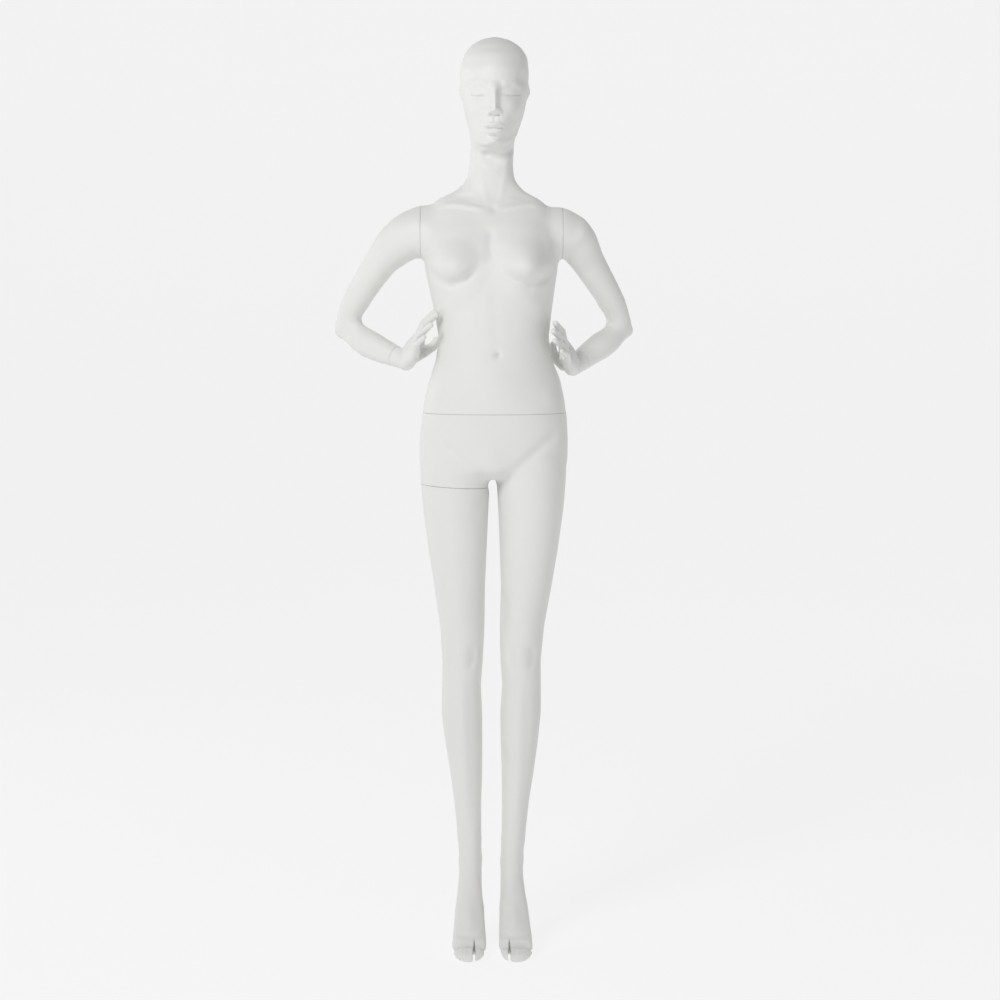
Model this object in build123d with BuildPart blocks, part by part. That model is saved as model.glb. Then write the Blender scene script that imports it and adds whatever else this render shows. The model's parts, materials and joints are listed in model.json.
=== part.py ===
"""A full body female display mannequin, hands on the waist, standing on raised heels.

Frame: millimetres, +Z up. The figure faces -Y and its own left side is +X.
Origin: on the floor, below the middle of the figure's bounding box.
Seven castings come apart at flat seams. A board closes each casting behind its seam,
and the boards carry metal fittings that let the castings turn a little and pull off.
"""

import os
from math import copysign, cos, pi, radians, sin

from build123d import *

os.makedirs("parts", exist_ok=True)

# Driving dimensions
wall = 4.0  # thickness of the castings
seam_gap = 0.8  # open line between two castings
recess = 1.0  # the boards sit this far behind the rims of the castings
glue_line = 1.2  # round the edge of each board
board_thickness = 12.0
section_points = 16  # points round each body section
trunk_y = 5.0  # depth at which the trunk is widest

waist_seam_z = 1095.0
waist_centre = (21.0, 2.0)
thigh_seam_z = 948.0
thigh_seam_tilt = 3.0  # degrees, the outer end is the higher one
thigh_centre = (-58.0, 5.0)
shoulder_seam_x = {"right": -125.5, "left": 158.5}
shoulder_y = 14.0
shoulder_z = 1456.0
cuff_length = 27.0  # from each wrist back to the seam of the hand

screw_length = 9.0
screw_radius = 1.6
screw_head_radius = 3.4
screw_head_height = 2.0
plate_thickness = 3.0
stud_clearance = 0.2
wrist_plug_thickness = 10.0
wrist_peg_radius = 4.0
wrist_peg_length = 26.0  # into the forearm
wrist_bush_wall = 2.5
bush_flange = (2.0, 4.0)  # thickness, and width beyond the bush
peg_flange_width = 5.0

bearing_hub_wall = 3.0
bearing_hub_extra = 3.0  # the hub stands this far out behind its board
socket_wall = 3.0
key_end_gap = 1.0
clip_thickness = 1.5
clip_groove = 1.5  # depth
stud_tail = 2.0  # beyond the clip
run_gap = 0.3  # beside faces that turn
stud_set_in = 0.5

# Fittings: journal radius, key across flats, plate radius, collar width, screws, key length
waist_fitting = (11.0, 20.0, 42.0, 5.0, 4, 34.0)
thigh_fitting = (9.0, 16.0, 34.0, 4.5, 4, 30.0)
shoulder_fitting = (7.0, 12.0, 27.0, 4.0, 3, 26.0)

toe_split_width = 3.5
rod_radius = 5.0  # the rod of a display base
rod_clearance = 0.2
rod_tube_wall = 3.0
rod_tube_top = 90.0  # depth of the tube's closed end, measured up from the mouth
rod_tube_start = 20.0  # depth of its open end
rod_tilt = 25.0  # degrees from upright, the rod leaves down and backwards
rod_mouth = (68.0, 49.0, 330.0)
rod_web_depth = 72.0  # from the mouth up to the board that holds the tube's top
rod_web_thickness = 12.0
rod_tube_cap = 4.0

# Trunk and head: height, middle x, half width, front y, back y, fullness
trunk_rows = [
    (962, 19.5, 120, -58, 72, 2.0),
    (980, 19.5, 146, -84, 112, 2.1),
    (1000, 20.0, 149.5, -90, 119, 2.15),
    (1040, 20.5, 149.5, -97, 117, 2.2),
    (1080, 21.5, 146.5, -102, 107, 2.25),
    (1120, 22.0, 141, -104, 97, 2.25),
    (1160, 22.5, 132, -103, 87, 2.2),
    (1200, 21.0, 117, -98, 79, 2.2),
    (1245, 20.5, 110.5, -92, 76, 2.2),
    (1300, 19.0, 118, -92, 82, 2.2),
    (1345, 17.0, 126, -97, 91, 2.25),
    (1390, 15.5, 134, -98, 99, 2.3),
    (1430, 16.0, 131, -88, 102, 2.3),
    (1465, 16.0, 128, -74, 98, 2.3),
    (1490, 15.0, 123, -60, 90, 2.3),
    (1506, 12.5, 115, -48, 82, 2.2),
    (1520, 10.0, 103, -38, 75, 2.1),
    (1538, 12.0, 68, -31, 68, 2.0),
    (1560, 14.5, 47.5, -30, 62, 2.0),
    (1590, 15.5, 43.5, -37, 57, 2.0),
    (1618, 17.5, 43, -48, 58, 2.0),
    (1640, 18.5, 44, -74, 66, 2.0),
    (1660, 21.0, 50, -84, 76, 2.1),
    (1690, 22.0, 59, -88, 86, 2.15),
    (1730, 22.0, 66.5, -90, 94, 2.15),
    (1770, 22.0, 68.5, -84, 96, 2.1),
    (1800, 23.5, 64, -70, 88, 2.0),
    (1820, 23.0, 51, -50, 72, 2.0),
    (1833, 22.5, 32, -28, 48, 2.0),
    (1840, 22.5, 8, -2, 16, 2.0),
]

# Legs from the hip down to the heel: height, half width, middle y, half depth
leg_rows = [
    (1010, 71, 14, 92),
    (960, 70.5, 7, 84),
    (900, 66, 2, 76),
    (820, 59, -2, 66),
    (740, 51, -4, 57),
    (660, 45, -3, 49.5),
    (590, 41, -1, 45),
    (540, 39.5, 4, 44),
    (480, 41.5, 11, 47),
    (420, 38, 13, 45.5),
    (360, 33, 12, 39.5),
    (300, 28, 11, 33.5),
    (240, 25, 11, 30.5),
    (190, 24.5, 13, 31),
    (150, 25, 17, 33),
    (120, 25.5, 22, 31),
    (98, 24, 25, 27),
    (84, 17, 26, 20),
    (79, 7, 26, 9),
]
# Middle of each leg at those heights
leg_x = {
    "right": [-56, -57.5, -56.5, -53, -48.5, -43.5, -43, -45.5, -45, -41]
    + [-36.5, -33.5, -30.5, -28.5, -28, -29, -29, -29, -29],
    "left": [97, 96, 95.5, 91.5, 86, 77.5, 75, 77, 75, 72.5]
    + [69.5, 65, 61.5, 58, 57, 58, 58, 58, 58],
}
ankle_row = 13  # the last row that the leg's cavity reaches
# Feet, from inside the ankle to the toes: y, z, tilt, half width, instep, sole, shift outwards
foot_rows = [
    (16, 142, 40, 22, 26, 20, 0.5),
    (-2, 116, 52, 27, 30, 30, 1.0),
    (-24, 88, 60, 29, 27, 31, 2.5),
    (-48, 61, 66, 31, 25, 28, 4.5),
    (-74, 38, 74, 33.5, 23, 26, 6.0),
    (-97, 22, 83, 34.5, 19, 20.5, 7.0),
    (-116, 15, 90, 32.5, 14, 14.5, 7.5),
    (-130, 11.5, 94, 25, 10, 11, 7.5),
    (-138, 10, 97, 12, 6, 7, 7.5),
]
toe_split_x = {"right": -19.0, "left": 52.0}
foot_x = {"right": -29.0, "left": 58.0}
foot_side = {"right": 0.0, "left": 1.0}  # how much each foot turns outwards

# Arms: x, y, z, half depth, upper or outer reach, lower or inner reach
upper_arm_rows = {
    "right": [
        (-84, 14, 1457, 43, 46, 46),
        (-128, 14, 1456, 47, 51.5, 51),
        (-152, 17, 1452, 46, 49, 51),
        (-181, 30, 1433, 40, 37, 47),
        (-207, 48, 1400, 34, 33, 34),
        (-230, 67, 1368, 31, 30.5, 30.5),
        (-251, 85, 1337, 28, 28, 28),
        (-272, 106, 1302, 26, 26.5, 26.5),
        (-287, 126, 1268, 25.5, 26, 25),
        (-293, 135, 1249, 22, 22, 20),
        (-295, 139, 1241, 12, 12, 10),
    ],
    "left": [
        (118, 14, 1456, 43, 45, 46),
        (161, 14, 1454, 47, 50, 50),
        (178, 17, 1450, 45, 47, 50),
        (195, 29, 1431, 40, 37, 44),
        (211, 48, 1400, 34, 33, 34),
        (231, 67, 1368, 31, 30.5, 30.5),
        (251, 85, 1337, 28, 28, 28),
        (270, 106, 1302, 26, 26.5, 26.5),
        (285, 126, 1268, 25.5, 26, 25),
        (291, 135, 1249, 22, 22, 20),
        (293, 139, 1241, 12, 12, 10),
    ],
}
forearm_rows = {
    "right": [
        (-282, 123, 1258, 21, 21, 21),
        (-262, 112, 1247, 29, 28.5, 28.5),
        (-236, 96, 1231, 29, 28.5, 28.5),
        (-206, 77, 1217, 26, 25.5, 25.5),
        (-181, 61, 1207, 23, 21.5, 21.5),
        (-160, 47, 1199, 22, 19, 19),
    ],
    "left": [
        (281, 123, 1257, 21, 21, 21),
        (264, 111, 1244, 29, 28, 28),
        (239, 95, 1227, 29, 27.5, 27.5),
        (211, 76, 1208, 26, 24, 24),
        (196, 62, 1197, 23.5, 21.5, 21.5),
        (180, 47, 1187, 22, 19.5, 19.5),
    ],
}
wrist = {"right": (-158, 46, 1198), "left": (180, 47, 1187)}

# Hands: knuckles and fingertips from index to little finger
knuckles = {
    "right": [(-131, 3, 1249), (-135, -9, 1240), (-136, -20, 1229), (-136, -30, 1217)],
    "left": [(161, 4, 1237), (164, -8, 1227), (166, -19, 1215), (168, -29, 1202)],
}
fingertips = {
    "right": [(-98, -42, 1297), (-94, -60, 1291), (-104, -72, 1271), (-117, -75, 1247)],
    "left": [(143, -47, 1274), (139, -66, 1259), (142, -74, 1240), (155, -76, 1220)],
}
thumbs = {
    "right": [(-147, 38, 1205), (-123, 58, 1216), (-104, 68, 1226), (-97, 66, 1240)],
    "left": [(164, 46, 1192), (148, 58, 1203), (141, 66, 1214), (141, 64, 1230)],
}
finger_radii = (8.6, 7.4, 5.8)
finger_scale = (1.0, 1.03, 0.98, 0.86)
thumb_radii = (15.0, 12.0, 9.0, 7.0)
finger_crook = 5.0  # the middle joint stands this far outside the straight line


# Outlines and lofts
def oval(half_width, front, back, fullness=2.0):
    """Points round a section. front reaches towards local -Y, back towards local +Y."""
    points = []
    for step in range(section_points):
        angle = 2 * pi * step / section_points
        across, along = cos(angle), sin(angle)
        reach = back if along > 0 else front
        points.append(
            (
                half_width * copysign(abs(across) ** (2 / fullness), across),
                reach * copysign(abs(along) ** (2 / fullness), along),
            )
        )
    return points


def body_loft(sections, inset=0.0):
    """A closed body through ovals, each a (plane, half width, front, back, fullness)."""
    with BuildPart() as body:
        for number, (plane, half_width, front, back, fullness) in enumerate(sections):
            pull_in = {0: inset, len(sections) - 1: -inset}.get(number, 0.0)
            with BuildSketch(plane.offset(pull_in)):
                with BuildLine():
                    Spline(*oval(half_width - inset, front - inset, back - inset, fullness), periodic=True)
                make_face()
        loft(ruled=True)
    return body.part


def joined(*pieces):
    with BuildPart() as whole:
        for piece in pieces:
            add(piece)
    return whole.part


def kept(piece, plane, side):
    """The part of a piece on one side of a plane: Keep.TOP lies along its normal."""
    with BuildPart() as rest:
        add(piece)
        split(bisect_by=plane, keep=side)
    return rest.part


def cylinder(plane, start, end, radius):
    """A round bar about a plane's normal, between two heights over it."""
    with BuildPart(plane) as bar:
        with Locations((0, 0, start)):
            Cylinder(radius, end - start, align=(Align.CENTER, Align.CENTER, Align.MIN))
    return bar.part


def path_planes(points):
    """Planes across a path, each with local X level in depth and local Z along the path."""
    planes = []
    for number, point in enumerate(points):
        before = Vector(*points[max(number - 1, 0)])
        after = Vector(*points[min(number + 1, len(points) - 1)])
        along = (after - before).normalized()
        depth = (Vector(0, 1, 0) - along * along.Y).normalized()
        planes.append(Plane(origin=point, x_dir=depth, z_dir=along))
    return planes


def trunk_body(inset=0.0, rows=None):
    sections = []
    for z, x, half_width, front, back, fullness in rows or trunk_rows:
        plane = Plane(origin=(x, trunk_y, z), x_dir=(1, 0, 0), z_dir=(0, 0, 1))
        sections.append((plane, half_width, trunk_y - front, back - trunk_y, fullness))
    return body_loft(sections, inset)


def level_oval(x, y, z, half_width, half_depth):
    plane = Plane(origin=(x, y, z), x_dir=(-1, 0, 0), z_dir=(0, 0, -1))
    return (plane, half_width, half_depth, half_depth, 2.05)


def leg_body(side, inset=0.0, rows=len(leg_rows)):
    """From inside the hip down to the heel, or to an earlier row."""
    sections = []
    for (z, half_width, y, half_depth), x in zip(leg_rows[:rows], leg_x[side]):
        sections.append(level_oval(x, y, z, half_width, half_depth))
    return body_loft(sections, inset)


def foot_body(side):
    """From inside the ankle to the toes."""
    sections = []
    for y, z, tilt, half_width, instep, sole, outwards in foot_rows:
        down = (0, -sin(radians(tilt)), -cos(radians(tilt)))
        x = foot_x[side] + foot_side[side] * outwards
        plane = Plane(origin=(x, y, z), x_dir=(-1, 0, 0), z_dir=down)
        sections.append((plane, half_width, instep, sole, 2.15))
    return body_loft(sections)


def arm_body(rows, inset=0.0):
    """One straight run of the arm, through sections across its own path."""
    sections = []
    for plane, row in zip(path_planes([row[:3] for row in rows]), rows):
        half_depth, upper, lower = row[3:]
        toward_front, toward_back = (upper, lower) if plane.y_dir.Z < 0 else (lower, upper)
        sections.append((plane, half_depth, toward_front, toward_back, 2.0))
    return body_loft(sections, inset)


def capsule_chain(points, radii):
    """A finger: straight tapered bones with a ball at each joint and at the tip."""
    with BuildPart() as chain:
        for start, end, thick, thin in zip(points, points[1:], radii, radii[1:]):
            bone = Vector(*end) - Vector(*start)
            base = Plane(origin=start, z_dir=bone)
            for plane, radius in ((base, thick), (base.offset(bone.length), thin)):
                with BuildSketch(plane):
                    Circle(radius)
            loft()
            with Locations(start):
                Sphere(thick)
        with Locations(points[-1]):
            Sphere(radii[-1])
    return chain.part


def between(start, end, share):
    return Vector(*start) * (1 - share) + Vector(*end) * share


def finger(side, number):
    """Knuckle, two joints on a slight outward crook, and the tip."""
    knuckle, tip = knuckles[side][number], fingertips[side][number]
    outwards = Vector(-1 if side == "right" else 1, 0, 0.4) * finger_crook
    middle = between(knuckle, tip, 0.5) + outwards
    points = [tuple(knuckle), tuple(middle), tuple(tip)]
    radii = [radius * finger_scale[number] for radius in finger_radii]
    return capsule_chain(points, radii)


def palm(side):
    """A flattened body from the wrist to the row of knuckles."""
    centre = between(knuckles[side][0], knuckles[side][3], 0.5)
    across = (Vector(*knuckles[side][0]) - Vector(*knuckles[side][3])).normalized()
    start = Vector(*wrist[side])
    along = (centre - start).normalized()
    across = (across - along * along.dot(across)).normalized()
    rows = [(-0.15, 17, 15), (0.15, 27, 18), (0.5, 33, 17), (0.8, 33, 14), (1.0, 30, 10.5)]
    sections = []
    for share, half_width, half_thickness in rows:
        plane = Plane(origin=between(start, centre, share), x_dir=across, z_dir=along)
        sections.append((plane, half_width, half_thickness, half_thickness, 2.3))
    return body_loft(sections)


# Seams: local Z points the way the removable casting leaves
def seam(origin, direction, level_with=(0, 1, 0)):
    return Plane(origin=origin, x_dir=level_with, z_dir=direction)


sides = ("right", "left")
outward = {"right": -1, "left": 1}
waist_seam = seam((*waist_centre, waist_seam_z), (0, 0, 1))
thigh_seam = seam(
    (*thigh_centre, thigh_seam_z), (-sin(radians(thigh_seam_tilt)), 0, -cos(radians(thigh_seam_tilt)))
)
shoulder_seam = {s: seam((shoulder_seam_x[s], shoulder_y, shoulder_z), (outward[s], 0, 0)) for s in sides}
wrist_seam = {}
for side in sides:
    along_forearm = (Vector(*wrist[side]) - Vector(*forearm_rows[side][-3][:3])).normalized()
    cuff_start = Vector(*wrist[side]) - along_forearm * cuff_length
    level = (Vector(0, 1, 0) - along_forearm * along_forearm.Y).normalized()
    wrist_seam[side] = Plane(origin=cuff_start, x_dir=level, z_dir=along_forearm)


def apart(piece, plane):
    """A body cut at a seam: the fixed part and the removable part, with the open line between."""
    fixed = kept(piece, plane.offset(-seam_gap / 2), Keep.BOTTOM)
    removable = kept(piece, plane.offset(seam_gap / 2), Keep.TOP)
    return fixed, removable


# Skins and cavities
hips_skin, chest_skin = apart(trunk_body(), waist_seam)
trunk_core = trunk_body(wall)
hips_core, chest_core = (kept(trunk_core, waist_seam, keep) for keep in (Keep.BOTTOM, Keep.TOP))
leg_skin = {s: joined(leg_body(s), foot_body(s)) for s in sides}
leg_core = {s: leg_body(s, wall, ankle_row) for s in sides}
upper_arm_core = {s: arm_body(upper_arm_rows[s], wall) for s in sides}
forearm_core = {s: arm_body(forearm_rows[s], wall) for s in sides}
for s in sides:
    forearm_core[s] = kept(forearm_core[s], wrist_seam[s], Keep.BOTTOM)
print("skins and cavities ready")


def cast(name, skins, cores):
    """One hollow casting: its skins together, less its cavities one after another."""
    with BuildPart() as casting:
        for skin in skins:
            add(skin)
        for core in cores:
            add(core, mode=Mode.SUBTRACT)
    print(name, [round(solid.volume / 1000) for solid in casting.part.solids()], "cm3")
    return casting.part


def finish(part, name):
    part.label = name
    export_step(part, f"parts/{name}.step")


# Castings
hip_stub, right_leg_skin = apart(leg_skin["right"], thigh_seam)
hip_stub_core = kept(leg_core["right"], thigh_seam, Keep.BOTTOM)
stubs, stub_cores, arm_skins, cuffs = [], [], {}, {}
for side in sides:
    stub, upper_arm = apart(arm_body(upper_arm_rows[side]), shoulder_seam[side])
    forearm, cuff = apart(arm_body(forearm_rows[side]), wrist_seam[side])
    stubs.append(stub)
    stub_cores.append(kept(upper_arm_core[side], shoulder_seam[side], Keep.BOTTOM))
    arm_skins[side] = [upper_arm, forearm]
    cuffs[side] = cuff

toe_splits = []
for side in sides:
    with BuildPart() as split_cutter:
        with Locations((toe_split_x[side], -129, 15)):
            Box(toe_split_width, 36, 60)
    toe_splits.append(split_cutter.part)
rod_outward = (0, sin(radians(rod_tilt)), -cos(radians(rod_tilt)))
rod_plane = Plane(origin=rod_mouth, x_dir=(1, 0, 0), z_dir=rod_outward)
tube_radius = rod_radius + rod_clearance + rod_tube_wall
rod_hole = cylinder(rod_plane, -rod_tube_top, 30, tube_radius)

hand_skins = {}
for side in sides:
    pieces = [cuffs[side], palm(side), capsule_chain(thumbs[side], thumb_radii)]
    pieces += [finger(side, number) for number in range(4)]
    hand_skins[side] = joined(*pieces)

castings = {
    "lower_body": cast(
        "lower body",
        [hips_skin, hip_stub, leg_skin["left"]],
        [hips_core, hip_stub_core, leg_core["left"], toe_splits[1], rod_hole],
    ),
    "right_leg": cast("right leg", [right_leg_skin], [leg_core["right"], toe_splits[0]]),
    "upper_body": cast("upper body", [chest_skin, *stubs], [chest_core, *stub_cores]),
}
for side in sides:
    castings[f"{side}_arm"] = cast(
        f"{side} arm", arm_skins[side], [upper_arm_core[side], forearm_core[side]]
    )


# Boards and fittings
def board(cavity, plane, start, end, cutters):
    """A flat board that fills a cavity between two heights over the seam, less its cutters."""
    with BuildPart() as panel:
        with BuildSketch(plane.offset(start)):
            Rectangle(400, 400)
        extrude(amount=end - start)
        add(cavity, mode=Mode.INTERSECT)
        for cutter in cutters:
            add(cutter, mode=Mode.SUBTRACT)
    return panel.part.solids().sort_by(SortBy.VOLUME)[-1]


def screw_group(plane, seat, direction, ring_radius, count, turn):
    """Countersunk wood screws on a circle. direction is the way they are driven."""
    with BuildPart() as screws:
        for spot in PolarLocations(ring_radius, count, start_angle=turn).locations:
            base = plane.offset(seat).location * spot * Rotation(0, 0 if direction > 0 else 180, 0)
            at = Plane(base)
            for start, first, second, length in (
                (0, screw_head_radius, screw_radius, screw_head_height),
                (screw_head_height, screw_radius, screw_radius, screw_length),
            ):
                with BuildSketch(at.offset(start)):
                    Circle(first)
                with BuildSketch(at.offset(start + length)):
                    Circle(second)
                loft()
    return screws.part


def key_bar(plane, start, end, across_flats):
    with BuildPart() as bar:
        with BuildSketch(plane.offset(start)):
            RegularPolygon(across_flats / 2, 6, major_radius=False)
        extrude(amount=end - start)
    return bar.part


def swivel_fitting(name, plane, sizes, cavity, fixed_casting):
    """Both boards of a seam with a captive swivel stud between them and a keyed socket."""
    journal, flats, plate_radius, collar, screw_count, key_length = sizes
    face = seam_gap / 2 + recess
    bearing_depth = board_thickness + bearing_hub_extra
    hub = journal + stud_clearance + bearing_hub_wall
    ring = (hub + plate_radius) / 2

    fixed_screws = screw_group(plane, -face, -1, ring, screw_count, 0)
    free_screws = screw_group(plane, face, 1, ring, screw_count, 0)

    with BuildPart() as bearing:
        add(cylinder(plane, -face - plate_thickness, -face, plate_radius))
        add(cylinder(plane, -face - bearing_depth, -face, hub))
        add(cylinder(plane, -face - bearing_depth, -face, journal + stud_clearance), mode=Mode.SUBTRACT)
        add(fixed_screws, mode=Mode.SUBTRACT)

    clip_top = -face - bearing_depth - run_gap
    clip_bottom = clip_top - clip_thickness
    neck = cylinder(plane, clip_bottom, clip_top, journal - clip_groove)
    with BuildPart() as stud:
        add(cylinder(plane, clip_bottom - stud_tail, face - stud_set_in, journal))
        add(cylinder(plane, -face + run_gap, face - stud_set_in, journal + collar))
        add(key_bar(plane, 0, face + key_length, flats))
        add(cylinder(plane, clip_bottom, clip_top, journal + clip_groove), mode=Mode.SUBTRACT)
        add(neck)
        chamfer(faces().sort_by(Axis(plane.origin, plane.z_dir))[-1].edges(), clip_groove)
    with BuildPart() as clip:
        add(cylinder(plane, clip_bottom, clip_top, journal + collar))
        add(neck, mode=Mode.SUBTRACT)

    socket_outer = flats / 2 / cos(pi / 6) + socket_wall
    socket_end = face + key_length + key_end_gap + socket_wall
    key_space = key_bar(plane, face, face + key_length + key_end_gap, flats + 2 * stud_clearance)
    with BuildPart() as socket:
        add(cylinder(plane, face, face + plate_thickness, plate_radius))
        add(cylinder(plane, face, socket_end, socket_outer))
        add(key_space, mode=Mode.SUBTRACT)
        add(free_screws, mode=Mode.SUBTRACT)

    plate_seat = cylinder(plane, -face - plate_thickness, 0, plate_radius)
    hub_hole = cylinder(plane, -face - bearing_depth, 0, hub)
    fixed_cutters = [plate_seat, hub_hole, fixed_screws, *fixed_casting]
    fixed_board = board(cavity, plane, -face - board_thickness, -face, fixed_cutters)
    plate_seat = cylinder(plane, 0, face + plate_thickness, plate_radius)
    socket_hole = cylinder(plane, 0, socket_end, socket_outer)
    free_cutters = [plate_seat, socket_hole, free_screws]
    free_board = board(cavity, plane, face, face + board_thickness, free_cutters)
    finish(fixed_board, f"{name}_fixed_board")
    finish(free_board, f"{name}_free_board")
    finish(bearing.part, f"{name}_bearing_plate")
    finish(stud.part, f"{name}_swivel_stud")
    finish(clip.part, f"{name}_stud_clip")
    finish(socket.part, f"{name}_socket_plate")
    finish(fixed_screws, f"{name}_bearing_screws")
    finish(free_screws, f"{name}_socket_screws")


board_inset = wall + glue_line
swivel_fitting("waist", waist_seam, waist_fitting, trunk_body(board_inset), [])
swivel_fitting("thigh", thigh_seam, thigh_fitting, leg_body("right", board_inset), [])
for side in sides:
    arm_cavity = arm_body(upper_arm_rows[side], board_inset)
    chest = [castings["upper_body"]]
    swivel_fitting(f"{side}_shoulder", shoulder_seam[side], shoulder_fitting, arm_cavity, chest)
print("swivel fittings ready")

# Wrists: a peg on the hand turns in a bush in the forearm
for side in sides:
    plane = wrist_seam[side]
    face = seam_gap / 2 + recess
    cuff_cavity = arm_body(forearm_rows[side], board_inset)
    flange_thickness, flange_width = bush_flange
    bush_outer = wrist_peg_radius + stud_clearance + wrist_bush_wall
    bush_end = -face - wrist_peg_length - flange_thickness
    bush_hole = cylinder(plane, bush_end + clip_thickness, -face, wrist_peg_radius + stud_clearance)
    flange_seat = cylinder(plane, -face - flange_thickness, 0, bush_outer + flange_width)
    bush_seat = cylinder(plane, bush_end, 0, bush_outer)
    with BuildPart() as bush:
        add(cylinder(plane, -face - flange_thickness, -face, bush_outer + flange_width))
        add(cylinder(plane, bush_end, -face, bush_outer))
        add(bush_hole, mode=Mode.SUBTRACT)
    plug_end = face + wrist_plug_thickness
    with BuildPart() as peg:
        add(cylinder(plane, -face - wrist_peg_length, plug_end, wrist_peg_radius))
        add(cylinder(plane, -face + run_gap, face, wrist_peg_radius + peg_flange_width))
    forearm_plug = board(cuff_cavity, plane, -face - wrist_plug_thickness, -face, [flange_seat, bush_seat])
    peg_hole = cylinder(plane, 0, plug_end, wrist_peg_radius)
    hand_plug = board(cuff_cavity, plane, face, plug_end, [peg_hole])
    pocket = board(arm_body(forearm_rows[side], wall), plane, 0, plug_end, [])
    castings[f"{side}_hand"] = cast(f"{side} hand", [hand_skins[side]], [pocket])
    finish(bush.part, f"{side}_wrist_bush")
    finish(peg.part, f"{side}_wrist_peg")
    finish(forearm_plug, f"{side}_forearm_plug")
    finish(hand_plug, f"{side}_hand_plug")

# Socket for the rod of a display base, in the back of the left calf
with BuildPart() as rod_tube:
    add(cylinder(rod_plane, -rod_tube_top, -rod_tube_start, tube_radius))
    bore_end = -rod_tube_top + rod_tube_cap
    add(cylinder(rod_plane, bore_end, -rod_tube_start, rod_radius + rod_clearance), mode=Mode.SUBTRACT)
finish(rod_tube.part, "calf_rod_tube")
calf_cavity = leg_body("left", board_inset, ankle_row)
web_end = -rod_web_depth - rod_web_thickness
finish(board(calf_cavity, rod_plane, web_end, -rod_web_depth, [rod_hole]), "calf_web_board")

for name, casting in castings.items():
    finish(casting, f"{name}_casting")
print("parts written")
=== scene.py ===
import json
import math

import bmesh
import bpy
import numpy as np
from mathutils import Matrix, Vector
from mathutils.bvhtree import BVHTree


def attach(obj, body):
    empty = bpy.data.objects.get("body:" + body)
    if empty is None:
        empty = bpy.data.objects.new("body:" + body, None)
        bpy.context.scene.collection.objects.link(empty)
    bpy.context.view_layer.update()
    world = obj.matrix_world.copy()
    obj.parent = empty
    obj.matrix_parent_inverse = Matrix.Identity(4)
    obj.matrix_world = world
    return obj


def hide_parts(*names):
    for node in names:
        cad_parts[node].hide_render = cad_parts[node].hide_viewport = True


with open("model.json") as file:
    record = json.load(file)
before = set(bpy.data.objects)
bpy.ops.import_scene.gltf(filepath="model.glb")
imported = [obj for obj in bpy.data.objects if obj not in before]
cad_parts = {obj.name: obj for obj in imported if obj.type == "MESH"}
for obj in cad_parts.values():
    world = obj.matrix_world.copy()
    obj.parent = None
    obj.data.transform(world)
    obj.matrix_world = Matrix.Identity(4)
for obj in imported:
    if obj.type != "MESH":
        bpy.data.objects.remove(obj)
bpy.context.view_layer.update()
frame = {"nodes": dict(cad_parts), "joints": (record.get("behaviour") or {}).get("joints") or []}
nodes = frame["nodes"]
joints = {joint["name"]: joint for joint in frame["joints"]}
mm = 0.001
print("frame loaded")


# Working by hand: pick a piece, go into edit mode, select by place, add and apply modifiers

def deselectAll():
    bpy.ops.object.select_all(action="DESELECT")


def pick(piece):
    deselectAll()
    piece.select_set(True)
    bpy.context.view_layer.objects.active = piece


def editNone(piece):
    pick(piece)
    bpy.ops.object.mode_set(mode="EDIT")
    bpy.ops.mesh.select_mode(type="FACE")
    bpy.ops.mesh.select_all(action="DESELECT")


def objectMode():
    bpy.ops.object.mode_set(mode="OBJECT")


def selectFaces(piece, keep):
    # keep takes the face centres as an array and gives a mask
    editNone(piece)
    objectMode()
    mesh = piece.data
    centres = np.empty(len(mesh.polygons) * 3)
    mesh.polygons.foreach_get("center", centres)
    mesh.polygons.foreach_set("select", keep(centres.reshape(-1, 3)))
    bpy.ops.object.mode_set(mode="EDIT")


def modify(piece, kind, **values):
    pick(piece)
    modifier = piece.modifiers.new(kind.lower(), kind)
    for name, value in values.items():
        setattr(modifier, name, value)
    bpy.ops.object.modifier_apply(modifier=modifier.name)


def copyOf(name, nodeNames):
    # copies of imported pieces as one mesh, with their doubles merged
    deselectAll()
    copies = []
    for nodeName in nodeNames:
        twin = nodes[nodeName].copy()
        twin.data = nodes[nodeName].data.copy()
        twin.parent = None
        for key in list(twin.keys()):
            del twin[key]
        bpy.context.collection.objects.link(twin)
        twin.select_set(True)
        copies.append(twin)
    bpy.context.view_layer.objects.active = copies[0]
    if len(copies) > 1:
        bpy.ops.object.join()
    form = bpy.context.view_layer.objects.active
    form.name = form.data.name = name
    form.data.materials.clear()
    bpy.ops.object.mode_set(mode="EDIT")
    bpy.ops.mesh.select_all(action="SELECT")
    bpy.ops.mesh.remove_doubles(threshold=0.00001)
    objectMode()
    return form


def clearShading(piece):
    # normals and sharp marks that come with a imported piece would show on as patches
    pick(piece)
    bpy.ops.mesh.customdata_custom_splitnormals_clear()
    for name in ("sharp_edge", "sharp_face"):
        if name in piece.data.attributes:
            piece.data.attributes.remove(piece.data.attributes[name])


def remesh(piece, size):
    clearShading(piece)
    piece.data.remesh_voxel_size = size
    piece.data.use_remesh_preserve_volume = False
    bpy.ops.object.voxel_remesh()
    clearShading(piece)


def keepOuterSkin(piece):
    # the cavities come out of the remesh as islands of their own: only the largest island stays
    pick(piece)
    bpy.ops.object.mode_set(mode="EDIT")
    bpy.ops.mesh.select_all(action="SELECT")
    bpy.ops.mesh.separate(type="LOOSE")
    objectMode()
    islands = [o for o in bpy.context.selected_objects if o.type == "MESH"]
    islands.sort(key=lambda o: len(o.data.vertices))
    skin = islands.pop()
    for island in islands:
        bpy.data.objects.remove(island)
    return skin


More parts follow.
